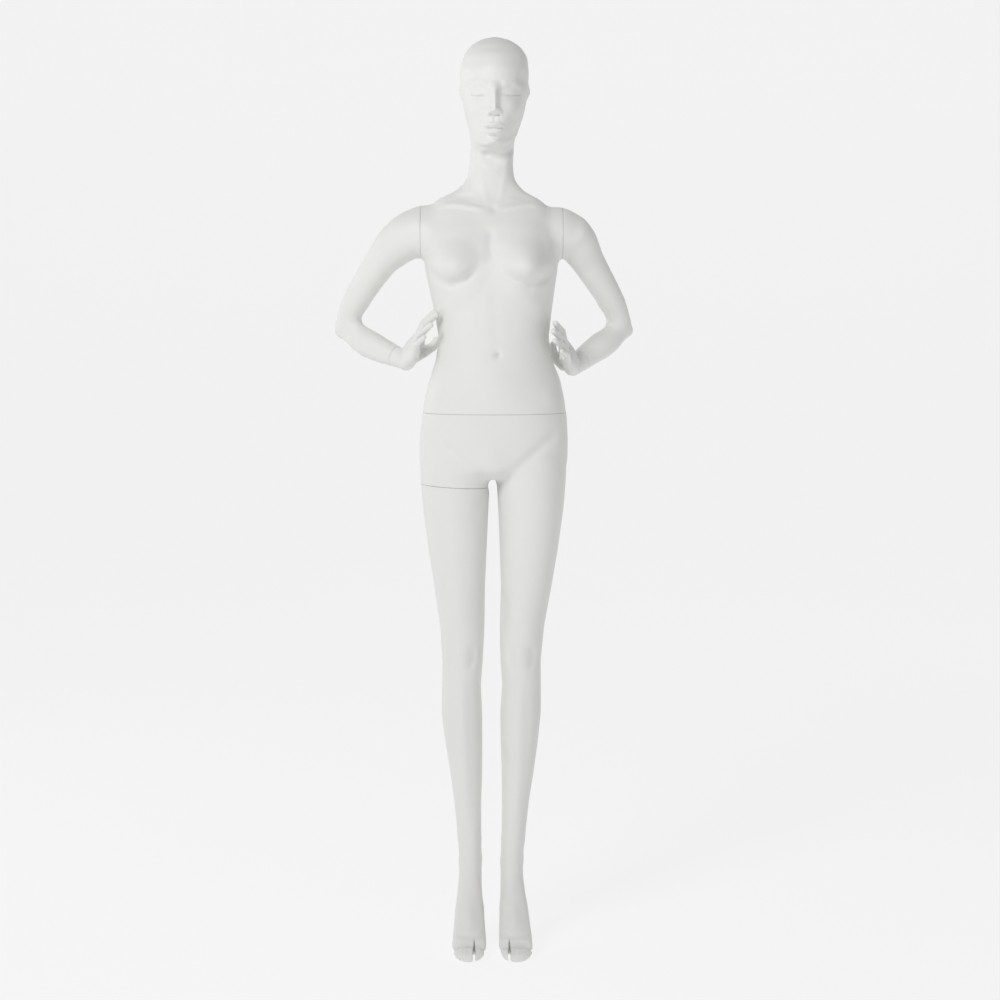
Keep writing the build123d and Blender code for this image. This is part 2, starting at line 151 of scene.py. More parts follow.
def keepNearest(piece, where):
    # of the loose parts, only the one nearest to a place stays
    pick(piece)
    bpy.ops.object.mode_set(mode="EDIT")
    bpy.ops.mesh.select_all(action="SELECT")
    bpy.ops.mesh.separate(type="LOOSE")
    objectMode()
    parts = [o for o in bpy.context.selected_objects if o.type == "MESH"]
    parts.sort(key=lambda o: np.linalg.norm(points(o) - np.array(where), axis=1).min())
    for part in parts[1:]:
        bpy.data.objects.remove(part)
    return parts[0]


def points(piece):
    array = np.empty(len(piece.data.vertices) * 3)
    piece.data.vertices.foreach_get("co", array)
    return array.reshape(-1, 3)


def setPoints(piece, array):
    piece.data.vertices.foreach_set("co", array.ravel())
    piece.data.update()


def normals(piece):
    array = np.empty(len(piece.data.vertices) * 3)
    piece.data.vertices.foreach_get("normal", array)
    return array.reshape(-1, 3)


def edgeEnds(piece):
    ends = np.empty(len(piece.data.edges) * 2, np.int64)
    piece.data.edges.foreach_get("vertices", ends)
    return ends.reshape(-1, 2)


def neighbourMean(ends, degree, values):
    total = np.zeros_like(values)
    for column in range(values.shape[1]):
        total[:, column] = (np.bincount(ends[:, 0], values[ends[:, 1], column], len(values))
                            + np.bincount(ends[:, 1], values[ends[:, 0], column], len(values)))
    return total / degree[:, None]


def smoothed(piece, values, factors, weight=1.0):
    # moves values towards the mean of their neighbours, once for each factor
    ends = edgeEnds(piece)
    degree = np.maximum(np.bincount(ends.ravel(), minlength=len(values)), 1)
    for factor in factors:
        values = values + (neighbourMean(ends, degree, values) - values) * (factor * weight)
    return values


def relax(piece, rounds):
    # smooths out facets and steps; every second pass gives the lost volume back
    setPoints(piece, smoothed(piece, points(piece), [0.6, -0.62] * rounds))


def calmNormals(piece):
    facing = smoothed(piece, normals(piece), [0.8] * 8)
    return facing / np.maximum(np.linalg.norm(facing, axis=1), 0.0001)[:, None]


def relaxSpot(piece, spots, iterations, factor=0.6):
    # smooths only round the given spots: (centre, radii) in millimetres
    place = points(piece)
    weight = np.zeros(len(place))
    for centre, radii in spots:
        apart = np.linalg.norm((place / mm - np.array(centre)) / np.array(radii), axis=1)
        weight = np.maximum(weight, np.clip(1.6 - 1.6 * apart, 0, 1))
    setPoints(piece, smoothed(piece, place, [factor] * iterations, weight[:, None]))


def nearPath(place, path):
    # distance of every point from a bent line, and how far along it the nearest spot is
    best = np.full(len(place), 1e9)
    share = np.zeros(len(place))
    steps = len(path) - 1
    for number in range(steps):
        start, end = np.array(path[number], float), np.array(path[number + 1], float)
        run = end - start
        along = np.clip(((place - start) @ run) / (run @ run), 0, 1)
        gap = np.linalg.norm(place - (start + along[:, None] * run), axis=1)
        closer = gap < best
        best[closer] = gap[closer]
        share[closer] = (number + along[closer]) / steps
    return best, share


faceWays = {"front": (0, -1, 0), "back": (0, 1, 0)}


def sculpt(piece, strokes):
    # Each stroke, in millimetres, has "at" or "path", "size", and "push" (a vector) or "swell" (along the
    # surface). Places given as (x, z) work from the front or the back, whatever the depth.
    place = points(piece) / mm
    facing = calmNormals(piece)
    for stroke in strokes:
        spot = stroke.get("path", [stroke.get("at")])
        flat = len(spot[0]) == 2
        seen = place[:, [0, 2]] if flat else place
        size = np.array(stroke["size"], float)
        if "path" in stroke:
            gap, share = nearPath(seen, spot)
            gap = gap / size
            ends = stroke.get("ends", 0.2)
            taper = np.clip(np.minimum(share, 1 - share) / ends, 0, 1) if ends else 1
        else:
            gap = np.linalg.norm((seen - np.array(spot[0])) / size, axis=1)
            taper = 1
        fall = np.clip(1 - gap, 0, 1)
        fall = fall * fall * (3 - 2 * fall) * taper
        side = faceWays[stroke.get("from", "front")] if flat else stroke.get("facing")
        if side:
            fall = fall * np.clip(facing @ np.array(side, float) * 2.5, 0, 1)
        if "swell" in stroke:
            place += facing * (fall * stroke["swell"])[:, None]
        else:
            place += np.array(stroke["push"], float) * fall[:, None]
    setPoints(piece, place * mm)


# Seams between the castings, from the joints of the frame
seams = {
    "waist": (Vector(joints["waist_turn"]["pos_m"]), Vector(joints["waist_lift"]["axis"])),
    "thigh": (Vector(joints["thigh_turn"]["pos_m"]), Vector(joints["thigh_drop"]["axis"])),
}
for side in ("right", "left"):
    seams[side + "Shoulder"] = (Vector(joints[side + "_shoulder_turn"]["pos_m"]),
                                Vector(joints[side + "_arm_pull"]["axis"]))
    seams[side + "Wrist"] = (Vector(joints[side + "_wrist_turn"]["pos_m"]),
                             Vector(joints[side + "_wrist_turn"]["axis"]))


seamFittings = ["fixed_board", "free_board", "bearing_plate", "swivel_stud", "socket_plate"]
lookouts = {"rays": 11, "open": 3, "spread": 1.1}


def looksOut(tree, face, spread):
    # True where enough of the rays that leave the face meet nothing
    free = 0
    blocked = 0
    normal = face.normal
    side = normal.orthogonal().normalized()
    across = normal.cross(side)
    start = face.center + normal * 0.0002
    for number in range(lookouts["rays"]):
        turn = number * 2.39996
        reach = lookouts["spread"] * math.sqrt(number / lookouts["rays"])
        direction = (normal + side * (reach * math.cos(turn)) + across * (reach * math.sin(turn))).normalized()
        if tree.ray_cast(start, direction)[0] is None:
            free += 1
        else:
            blocked += 1
        if free >= lookouts["open"]:
            return True
        if blocked > lookouts["rays"] - lookouts["open"]:
            return False
    return False


def outerSkin(name, casting, seamNames, fittings, solidBelow=0.0):
    # the outside of a hollow casting, closed and drawn on a little over each of its seams
    closed = copyOf(name + "Closed", [casting] + fittings)
    mesh = closed.data
    corners = [vertex.co.copy() for vertex in mesh.vertices]
    tree = BVHTree.FromPolygons(corners, [tuple(face.vertices) for face in mesh.polygons])
    bpy.data.objects.remove(closed)
    skin = copyOf(name, [casting])
    mesh = skin.data
    inner = np.zeros(len(mesh.polygons), bool)
    for face in mesh.polygons:
        if face.center.z > solidBelow:
            inner[face.index] = not looksOut(tree, face, lookouts["spread"])
    middle = points(skin).mean(axis=0)
    for seam in seamNames:
        where, axis = np.array(seams[seam][0]), np.array(seams[seam][1].normalized())
        for face in mesh.polygons:
            offset = np.array(face.center) - where
            flat = abs(offset @ axis) < 0.0025 and abs(np.array(face.normal) @ axis) > 0.95
            if flat and np.linalg.norm(offset) < figure["seamReach"]:
                inner[face.index] = True
    selectFaces(skin, lambda centres: inner)
    bpy.ops.mesh.delete(type="FACE")
    objectMode()
    skin = keepOuterSkin(skin)
    place = points(skin)
    for seam in seamNames:
        where, axis = np.array(seams[seam][0]), np.array(seams[seam][1].normalized())
        outwards = -axis * np.sign((middle - where) @ axis)
        offset = place - where
        rim = (np.abs(offset @ axis) < 0.001) & (np.linalg.norm(offset, axis=1) < figure["seamReach"])
        place[rim] += outwards * figure["overlap"]
    setPoints(skin, place)
    pick(skin)
    bpy.ops.object.mode_set(mode="EDIT")
    bpy.ops.mesh.select_all(action="SELECT")
    bpy.ops.mesh.delete_loose()
    bpy.ops.mesh.select_all(action="SELECT")
    bpy.ops.mesh.fill_holes(sides=0)
    bpy.ops.mesh.select_all(action="SELECT")
    bpy.ops.mesh.normals_make_consistent(inside=False)
    objectMode()
    return skin


def fittingsOf(*seamNames):
    return [f"{seam}_{part}" for seam in seamNames for part in seamFittings]


def joinForms(name, forms):
    deselectAll()
    for form in forms:
        form.select_set(True)
    bpy.context.view_layer.objects.active = forms[0]
    bpy.ops.object.join()
    joined = bpy.context.view_layer.objects.active
    joined.name = joined.data.name = name
    return joined


def twinOf(piece, name):
    pick(piece)
    bpy.ops.object.duplicate()
    twin = bpy.context.view_layer.objects.active
    twin.name = twin.data.name = name
    return twin


# The whole figure starts as one form, so that the surface runs on across every seam
figure = {
    "voxels": (0.0021, 0.0042),
    "relaxRounds": 40,
    "seamReach": 0.26,
    "overlap": 0.002,
}
armSkins = {}
for side in ("right", "left"):
    armFittings = fittingsOf(side + "_shoulder") + [side + "_forearm_plug", side + "_wrist_bush",
                                                    side + "_wrist_peg"]
    armSkins[side] = outerSkin(side + "ArmSkin", side + "_arm_casting",
                               [side + "Shoulder", side + "Wrist"], armFittings)
skins = [
    outerSkin("upperSkin", "upper_body_casting", ["waist", "rightShoulder", "leftShoulder"],
              fittingsOf("waist", "right_shoulder", "left_shoulder")),
    outerSkin("lowerSkin", "lower_body_casting", ["waist", "thigh"],
              fittingsOf("waist", "thigh") + ["calf_rod_tube", "calf_web_board"], 0.2),
    outerSkin("legSkin", "right_leg_casting", ["thigh"], fittingsOf("thigh"), 0.2),
    twinOf(armSkins["right"], "rightArmTwin"),
    twinOf(armSkins["left"], "leftArmTwin"),
    copyOf("rightHandCopy", ["right_hand_casting", "right_hand_plug", "right_wrist_peg"]),
    copyOf("leftHandCopy", ["left_hand_casting", "left_hand_plug", "left_wrist_peg"]),
]
print("outer skins ready")
form = joinForms("figureForm", skins)
for voxel in figure["voxels"]:
    remesh(form, voxel)
    form = keepOuterSkin(form)
print("figure form", len(form.data.polygons), "faces")
relax(form, figure["relaxRounds"])

# Where limbs run into the trunk the form is blended more
blends = [
    ((-118, 14, 1480), (60, 75, 75), ),
    ((150, 14, 1480), (60, 75, 75), ),
    ((20, 10, 965), (150, 130, 60)),
    ((-57, 10, 960), (90, 120, 60)),
    ((96, 10, 960), (90, 120, 60)),
    ((15, 20, 1540), (110, 90, 60)),
]
relaxSpot(form, blends, 16)
jointBlends = [
    ((-29, 10, 140), (55, 70, 85)),
    ((59, 10, 140), (55, 70, 85)),
    ((-290, 125, 1262), (75, 75, 65)),
    ((288, 125, 1262), (75, 75, 65)),
]
relaxSpot(form, jointBlends, 60)
shoulderBlends = [
    ((-112, 10, 1452), (44, 95, 72)),
    ((146, 10, 1452), (44, 95, 72)),
    ((-160, 14, 1490), (50, 60, 40)),
    ((193, 14, 1490), (50, 60, 40)),
]
relaxSpot(form, shoulderBlends, 60)
sculpt(form, [
    {"at": (-116, -40, 1450), "size": (44, 60, 70), "push": (0, -9, 2)},
    {"at": (150, -40, 1450), "size": (44, 60, 70), "push": (0, -9, 2)},
    {"at": (-120, 60, 1450), "size": (44, 60, 70), "push": (0, 9, 2)},
    {"at": (154, 60, 1450), "size": (44, 60, 70), "push": (0, 9, 2)},
    {"at": (-118, 14, 1502), "size": (50, 60, 36), "push": (0, 0, 5)},
    {"at": (151, 14, 1502), "size": (50, 60, 36), "push": (0, 0, 5)},
])
print("form blended")

trunkStrokes = [
    # breasts, with the crease under each
    {"at": (-64, -86, 1406), "size": (88, 90, 104), "push": (-2, -20, -1)},
    {"at": (90, -86, 1406), "size": (88, 90, 104), "push": (2, -20, -1)},
    {"at": (-64, -98, 1392), "size": (66, 70, 56), "push": (0, -19, -4)},
    {"at": (89, -98, 1392), "size": (66, 70, 56), "push": (0, -19, -4)},
    {"path": [(-108, 1388), (-94, 1364), (-64, 1350), (-34, 1362), (2, 1394)], "size": 14, "push": (0, 6.5, 0)},
    {"path": [(136, 1388), (122, 1364), (92, 1350), (62, 1362), (26, 1394)], "size": 14, "push": (0, 6.5, 0)},
    {"path": [(14, 1462), (14, 1392)], "size": 14, "push": (0, 3, 0)},
    # collar bones, the notch between them and the neck's long muscles
    {"path": [(7, 1497), (-20, 1503), (-58, 1509), (-92, 1507)], "size": 9, "push": (0, -3.4, 1)},
    {"path": [(33, 1497), (56, 1503), (90, 1509), (124, 1507)], "size": 9, "push": (0, -3.4, 1)},
    {"at": (20, 1498), "size": (12, 14), "push": (0, 4, 0)},
    {"at": (-40, 1524), "size": (32, 11), "push": (0, 4, 0)},
    {"at": (76, 1524), "size": (32, 11), "push": (0, 4, 0)},
    {"path": [(-14, 1596), (-3, 1552), (10, 1504)], "size": 10, "push": (0, -1.6, 0)},
    {"path": [(50, 1596), (41, 1552), (30, 1504)], "size": 10, "push": (0, -1.6, 0)},
    # rib cage, midline, navel and lower belly
    {"path": [(-88, 1290), (-50, 1322), (4, 1352)], "size": 22, "push": (0, -2.2, 0)},
    {"path": [(128, 1290), (92, 1322), (38, 1352)], "size": 22, "push": (0, -2.2, 0)},
    {"path": [(20, 1350), (25, 1290), (28, 1222)], "size": 18, "push": (0, 1.1, 0)},
    {"at": (26, 1140), "size": (78, 66), "push": (0, -5, 0)},
    {"at": (28, 1215), "size": (17, 20), "push": (0, 1.6, 0)},
    {"at": (28, 1212), "size": (6.5, 9), "push": (0, 7, 0)},
    {"at": (-92, 1128), "size": (26, 26), "push": (0, -3.5, 0)},
    {"at": (136, 1128), "size": (26, 26), "push": (0, -3.5, 0)},
    # folds of the groin
    {"path": [(-112, 1064), (-70, 1028), (-28, 990), (6, 966)], "size": 17, "push": (0, 4.4, 0), "ends": 0.12},
    {"path": [(154, 1064), (112, 1028), (70, 990), (34, 966)], "size": 17, "push": (0, 4.4, 0), "ends": 0.12},
    {"at": (20, 1000), "size": (40, 46), "push": (0, -4, 0)},
    # back: shoulder blades, spine, the hollow above the hips, buttocks
    {"at": (-52, 1424), "size": (42, 58), "from": "back", "push": (0, 7, 0)},
    {"at": (84, 1424), "size": (42, 58), "from": "back", "push": (0, 7, 0)},
    {"path": [(17, 1500), (17, 1300), (20, 1120)], "size": 17, "from": "back", "push": (0, -6, 0)},
    {"at": (-16, 1168), "size": (40, 70), "from": "back", "push": (0, -4, 0)},
    {"at": (58, 1168), "size": (40, 70), "from": "back", "push": (0, -4, 0)},
    {"at": (-44, 1002), "size": (72, 84), "from": "back", "push": (0, 16, 0)},
    {"at": (84, 1002), "size": (72, 84), "from": "back", "push": (0, 16, 0)},
    {"path": [(20, 1076), (20, 1030), (20, 960)], "size": 17, "from": "back", "push": (0, -10, 0), "ends": 0.4},
    {"path": [(-96, 948), (-60, 940), (-4, 948)], "size": 20, "from": "back", "push": (0, -4, 0), "ends": 0.4},
    {"path": [(138, 948), (102, 940), (44, 948)], "size": 20, "from": "back", "push": (0, -4, 0), "ends": 0.4},
]
legStrokes = []
for kneeX, shinX, out in ((-44, -40, -1), (76, 72, 1)):
    legStrokes += [
        {"at": (kneeX, 604), "size": (22, 30), "push": (0, -4.5, 0)},
        {"path": [(kneeX - 21, 632), (kneeX - 24, 600), (kneeX - 14, 570)], "size": 11, "push": (0, 2.4, 0)},
        {"path": [(kneeX + 21, 632), (kneeX + 24, 600), (kneeX + 14, 570)], "size": 11, "push": (0, 2.4, 0)},
        {"path": [(kneeX, 566), (shinX, 420), (shinX + 6 * -out, 240)], "size": 15, "push": (0, -3, 0)},
        {"at": (kneeX + 5 * out, 690), "size": (40, 90), "push": (0, -3, 0)},
        {"at": (kneeX, 600), "size": (22, 40), "from": "back", "push": (0, -4, 0)},
        {"at": (kneeX + 14 * out, 470), "size": (26, 80), "from": "back", "push": (0, 5, 0)},
        {"at": (kneeX - 14 * out, 480), "size": (24, 80), "from": "back", "push": (0, 5, 0)},
    ]
for ankleX in (-28.5, 57.5):
    legStrokes += [
        {"at": (ankleX - 24, 10, 168), "size": (16, 18, 20), "push": (-1.6, 0, 0)},
        {"at": (ankleX + 24, 10, 172), "size": (16, 18, 20), "push": (1.6, 0, 0)},
        {"path": [(ankleX, 50, 250), (ankleX, 50, 150)], "size": 13, "facing": (0, 1, 0), "push": (0, 3, 0)},
        {"path": [(ankleX - 13, 44, 240), (ankleX - 14, 40, 150)], "size": 10, "push": (2.5, -1, 0)},
        {"path": [(ankleX + 13, 44, 240), (ankleX + 14, 40, 150)], "size": 10, "push": (-2.5, -1, 0)},
    ]
armStrokes = []
for elbowX, out in ((-301, -1), (299, 1)):
    armStrokes += [
        {"at": (elbowX, 132, 1256), "size": (20, 22, 20), "push": (4 * out, 4, -2)},
    ]
sculpt(form, trunkStrokes + legStrokes + armStrokes)
relax(form, 4)
rodHole = {"mouth": (0.068, 0.049, 0.330), "lean": 25.0, "radius": 0.0082, "inside": 0.025, "outside": 0.03}
lean = math.radians(rodHole["lean"])
rodWay = Vector((0.0, math.sin(lean), -math.cos(lean)))
bpy.ops.mesh.primitive_cylinder_add(
    vertices=48, radius=rodHole["radius"], depth=rodHole["inside"] + rodHole["outside"],
    location=Vector(rodHole["mouth"]) + rodWay * (rodHole["outside"] - rodHole["inside"]) / 2,
    rotation=rodWay.to_track_quat("Z", "Y").to_euler())
drill = bpy.context.view_layer.objects.active
modify(form, "BOOLEAN", operation="DIFFERENCE", solver="FAST", object=drill)
bpy.data.objects.remove(drill)
print("body sculpted")


def refine(piece, region, cuts=1):
    selectFaces(piece, region)
    bpy.ops.mesh.subdivide(number_cuts=cuts)
    objectMode()


# Head: a finer mesh, then the jaw, the face and the ears
headMiddle = 22.5
refine(form, lambda c: c[:, 2] > 1.585)
relaxSpot(form, [((headMiddle, 0, 1720), (150, 150, 175))], 6)
headStrokes = [
    # jaw and chin over the neck
    {"at": (headMiddle, -58, 1598), "size": (46, 50, 22), "push": (0, 17, 3)},
    {"at": (headMiddle, -58, 1607), "size": (42, 40, 13), "push": (0, 8, 2)},
    {"at": (headMiddle, -70, 1630), "size": (32, 30, 22), "push": (0, -10, -6)},
    {"path": [(-24, 0, 1656), (-8, -42, 1634), (16, -66, 1624)], "size": 12, "push": (-0.6, -2, -3), "ends": 0.1},
    {"path": [(69, 0, 1656), (53, -42, 1634), (29, -66, 1624)], "size": 12, "push": (0.6, -2, -3), "ends": 0.1},
    {"path": [(-22, 8, 1630), (-6, -30, 1610), (16, -44, 1600)], "size": 14, "push": (2, 5, 1), "ends": 0.1},
    {"path": [(67, 8, 1630), (51, -30, 1610), (29, -44, 1600)], "size": 14, "push": (-2, 5, 1), "ends": 0.1},
    # forehead and temples
    {"at": (headMiddle, 1782), "size": (52, 40), "push": (0, -4, 0)},
    {"at": (-34, 1752), "size": (16, 26), "push": (2, 4, 0)},
    {"at": (79, 1752), "size": (16, 26), "push": (-2, 4, 0)},
]
sculpt(form, headStrokes)
relaxSpot(form, [((headMiddle, -60, 1690), (90, 70, 110))], 4)
refine(form, lambda c: (c[:, 2] > 1.612) & (c[:, 2] < 1.76) & (c[:, 1] < -0.035))
relaxSpot(form, [((headMiddle, -75, 1695), (80, 60, 90))], 3)
# The face is placed a little lower than it looks from the front, because it lies nearer to the eye
faceDrop = 8
faceStrokes = [
    # eye hollows and brows
    {"at": (-10, 1733), "size": (31, 18), "push": (0, 7.5, 0)},
    {"at": (56, 1733), "size": (31, 18), "push": (0, 7.5, 0)},
    {"path": [(-34, 1742), (-12, 1753), (10, 1747)], "size": 13, "push": (0, -1.8, 0)},
    {"path": [(79, 1742), (57, 1753), (35, 1747)], "size": 13, "push": (0, -1.8, 0)},
    # nose
    {"path": [(23, 1754), (23, 1728), (23, 1696)], "size": 14, "push": (0, -8, 0), "ends": 0.3},
    {"path": [(23, 1738), (23, 1716), (23, 1693)], "size": 9, "push": (0, -7, 0), "ends": 0.3},
    {"at": (23, 1698), "size": (12, 13), "push": (0, -9, -2)},
    {"at": (14, 1696), "size": (8, 8), "push": (-1, -5, -1)},
    {"at": (32, 1696), "size": (8, 8), "push": (1, -5, -1)},
    {"path": [(9, 1687), (23, 1685.5), (37, 1687)], "size": 5, "push": (0, 4.6, 1)},
    # closed lids
    {"at": (-9, 1732), "size": (20, 12), "push": (0, -5, 0)},
    {"at": (56, 1732), "size": (20, 12), "push": (0, -5, 0)},
    {"path": [(-28, 1732), (-20, 1727.5), (-8, 1725), (7, 1727)], "size": 3.2, "push": (0, 2.6, 0)},
    {"path": [(75, 1732), (67, 1727.5), (55, 1725), (40, 1727)], "size": 3.2, "push": (0, 2.6, 0)},
    {"path": [(-28, 1729), (-20, 1724.5), (-8, 1722), (7, 1724)], "size": 3.5, "push": (0, -1, 0)},
    {"path": [(75, 1729), (67, 1724.5), (55, 1722), (40, 1724)], "size": 3.5, "push": (0, -1, 0)},
    # cheeks
    {"at": (-20, 1704), "size": (24, 20), "push": (0, -3.5, 0)},
    {"at": (65, 1704), "size": (24, 20), "push": (0, -3.5, 0)},
    {"at": (-12, 1672), "size": (18, 22), "push": (0, 2.5, 0)},
    {"at": (57, 1672), "size": (18, 22), "push": (0, 2.5, 0)},
    # mouth and chin
    {"at": (22, 1664), "size": (28, 18), "push": (0, -3.5, 0)},
    {"path": [(23, 1687), (22.5, 1673)], "size": 4.5, "push": (0, 1.6, 0)},
    {"path": [(-1, 1665), (13, 1670.5), (22, 1669), (31, 1670.5), (45, 1665)], "size": 5.6, "push": (0, -3.8, 0)},
    {"path": [(2, 1660), (13, 1655), (22, 1654), (31, 1655), (42, 1660)], "size": 6.6, "push": (0, -5.2, 0)},
    {"path": [(-2, 1664), (12, 1662), (22, 1663), (32, 1662), (46, 1664)], "size": 3, "push": (0, 3.4, 0)},
    {"at": (22, 1646.5), "size": (20, 6.5), "push": (0, 3.6, 0)},
    {"at": (22, 1635), "size": (20, 12), "push": (0, -3.5, 0)},
    # ears, as plain low bumps
    {"at": (-46, 6, 1731), "size": (14, 13, 22), "push": (-4.5, 0, 0)},
    {"at": (91, 6, 1731), "size": (14, 13, 22), "push": (4.5, 0, 0)},
    {"at": (-52, 2, 1733), "size": (8, 6, 12), "push": (2.2, 0, 0)},
    {"at": (97, 2, 1733), "size": (8, 6, 12), "push": (-2.2, 0, 0)},
]
for stroke in faceStrokes:
    spots = stroke.get("path", [stroke.get("at")])
    if len(spots[0]) == 2:
        lowered = [(x, z - faceDrop) for x, z in spots]
        if "path" in stroke:
            stroke["path"] = lowered
        else:
            stroke["at"] = lowered[0]
sculpt(form, faceStrokes)
relaxSpot(form, [((headMiddle, -80, 1695), (70, 50, 80))], 1, 0.35)
print("head sculpted")

# Feet: a finer mesh, the cleft beside the big toe, and the break of the toes
feet = {
    "splitX": {"right": -19, "left": 52},
    "splitWide": 8.5,
    "splitNarrow": 2.6,
    "splitFront": -158,
    "splitBack": -98,
}
refine(form, lambda c: c[:, 2] < 0.135)
relaxSpot(form, [((-26, -50, 50), (60, 130, 75)), ((62, -50, 50), (60, 130, 75))], 4)
for side, out in (("right", -1), ("left", 1)):
    x = feet["splitX"][side]
    front, back = feet["splitFront"], feet["splitBack"]
    wide, narrow = feet["splitWide"] / 2, feet["splitNarrow"] / 2
    corners = [(x - wide, front), (x + wide, front), (x + narrow, back), (x - narrow, back)]
    cutterMesh = bpy.data.meshes.new("toeCutter")
    rows = [(cx * mm, cy * mm, z * mm) for z in (-12, 60) for cx, cy in corners]
    sides = [(0, 3, 2, 1), (4, 5, 6, 7), (0, 1, 5, 4), (1, 2, 6, 5), (2, 3, 7, 6), (3, 0, 4, 7)]
    cutterMesh.from_pydata(rows, [], sides)
    cutter = bpy.data.objects.new("toeCutter", cutterMesh)
    bpy.context.collection.objects.link(cutter)
    modify(form, "BOOLEAN", operation="DIFFERENCE", solver="FAST", object=cutter)
    bpy.data.objects.remove(cutter)
footStrokes = []
for footX, splitX, out in ((-28, -19, -1), (63, 52, 1)):
    footStrokes += [
        {"path": [(footX - 34, 46), (footX, 43), (footX + 34, 46)], "size": 9, "push": (0, 1.5, -1.5), "ends": 0},
        {"at": (footX, -60, 66), "size": (20, 50, 40), "push": (0, -3, 3)},
        {"at": (splitX - 15 * out, -126, 24), "size": (11, 16, 12), "push": (0, 0, 2.5)},
        {"path": [(splitX + 12 * out, -146, 6), (splitX + 12 * out, -120, 30)], "size": 3.6, "swell": -1.6},
        {"path": [(splitX + 21 * out, -142, 6), (splitX + 21 * out, -118, 28)], "size": 3.4, "swell": -1.5},
        {"path": [(splitX + 29 * out, -136, 6), (splitX + 29 * out, -114, 26)], "size": 3.2, "swell": -1.4},
    ]
sculpt(form, footStrokes)
relaxSpot(form, [((-19, -128, 15), (22, 34, 40)), ((52, -128, 15), (22, 34, 40))], 3)
print("feet sculpted", len(form.data.polygons), "faces")

# Hands: finer forms, each with the end of its forearm so that it runs on from the cuff
hand = {
    "voxel": 0.0017,
    "relaxRounds": 14,
    "forearm": 0.05,
    "settle": 0.016,
}
handForms = {}
for side in ("right", "left"):
    where, axis = seams[side + "Wrist"]
    axis = axis.normalized()
    cuff = armSkins[side]
    pick(cuff)
    bpy.ops.object.mode_set(mode="EDIT")
    bpy.ops.mesh.select_all(action="SELECT")
    bpy.ops.mesh.bisect(plane_co=where - axis * hand["forearm"], plane_no=axis, clear_inner=True, use_fill=True)
    objectMode()
    # whatever of the upper arm also lies beyond that plane is a loose part of its own
    cuff = keepNearest(cuff, where)
    raw = copyOf(side + "HandRaw", [side + "_hand_casting", side + "_hand_plug", side + "_wrist_peg"])
    handForm = joinForms(side + "Hand", [cuff, raw])
    remesh(handForm, hand["voxel"])
    handForm = keepOuterSkin(handForm)
    relax(handForm, hand["relaxRounds"])
    # near the seam the hand lies on the surface of the figure
    settle = handForm.vertex_groups.new(name="settle")
    height = (points(handForm) - np.array(where)) @ np.array(axis)
    weight = np.clip(1.3 - np.abs(height) / hand["settle"], 0, 1)
    for index in np.nonzero(weight)[0]:
        settle.add([int(index)], float(weight[index]), "REPLACE")
    modify(handForm, "SHRINKWRAP", target=form, wrap_method="NEAREST_SURFACEPOINT", vertex_group="settle")
    handForm.vertex_groups.clear()
    relax(handForm, 1)
    handForms[side] = handForm
    print(side, "hand form", len(handForm.data.polygons), "faces")

# Castings: cut from the form at the seams
seamGap = 0.0011


def cutOff(piece, seam, region, name):
    # cuts a casting off at a seam. region masks the faces near the seam and beyond it
    where, axis = seams[seam]
    axis = axis.normalized()
    for offset in (-seamGap / 2, seamGap / 2):
        selectFaces(piece, region)
        bpy.ops.mesh.bisect(plane_co=where + axis * offset, plane_no=axis)
        objectMode()
    normal, origin = np.array(axis), np.array(where)

    def band(centres):
        height = (centres - origin) @ normal
        return region(centres) & (np.abs(height) < seamGap / 2)

    def beyond(centres):
        return region(centres) & ((centres - origin) @ normal > seamGap / 2)

    selectFaces(piece, band)
    bpy.ops.mesh.delete(type="FACE")
    objectMode()
    selectFaces(piece, beyond)
    bpy.ops.mesh.separate(type="SELECTED")
    objectMode()
    rest = [o for o in bpy.context.selected_objects if o != piece][0]
    rest.name = rest.data.name = name
    return rest


def nearSeam(seam, reach):
    where = np.array(seams[seam][0])
    return lambda centres: np.linalg.norm(centres - where, axis=1) < reach


upperBody = cutOff(form, "waist", lambda c: c[:, 2] > 1.0, "upperBody")
rightLeg = cutOff(form, "thigh", lambda c: (c[:, 0] < 0.018) & (c[:, 2] < 0.97), "rightLeg")
lowerBody = form
lowerBody.name = lowerBody.data.name = "lowerBody"
rightArm = cutOff(upperBody, "rightShoulder", lambda c: (c[:, 0] < -0.112) & (c[:, 2] > 1.165), "rightArm")
leftArm = cutOff(upperBody, "leftShoulder", lambda c: (c[:, 0] > 0.145) & (c[:, 2] > 1.165), "leftArm")
bpy.data.objects.remove(cutOff(rightArm, "rightWrist", nearSeam("rightWrist", 0.21), "coarseHand"))
bpy.data.objects.remove(cutOff(leftArm, "leftWrist", nearSeam("leftWrist", 0.21), "coarseHand"))
rightHand = cutOff(handForms["right"], "rightWrist", nearSeam("rightWrist", 0.3), "rightHand")
leftHand = cutOff(handForms["left"], "leftWrist", nearSeam("leftWrist", 0.3), "leftHand")
bpy.data.objects.remove(handForms["right"])
bpy.data.objects.remove(handForms["left"])
print("castings cut")

rim = {
    "steps": [(0.15, 0.2), (0.4, 0.35), (3.0, 0.35), (3.0, -6.0)],
}


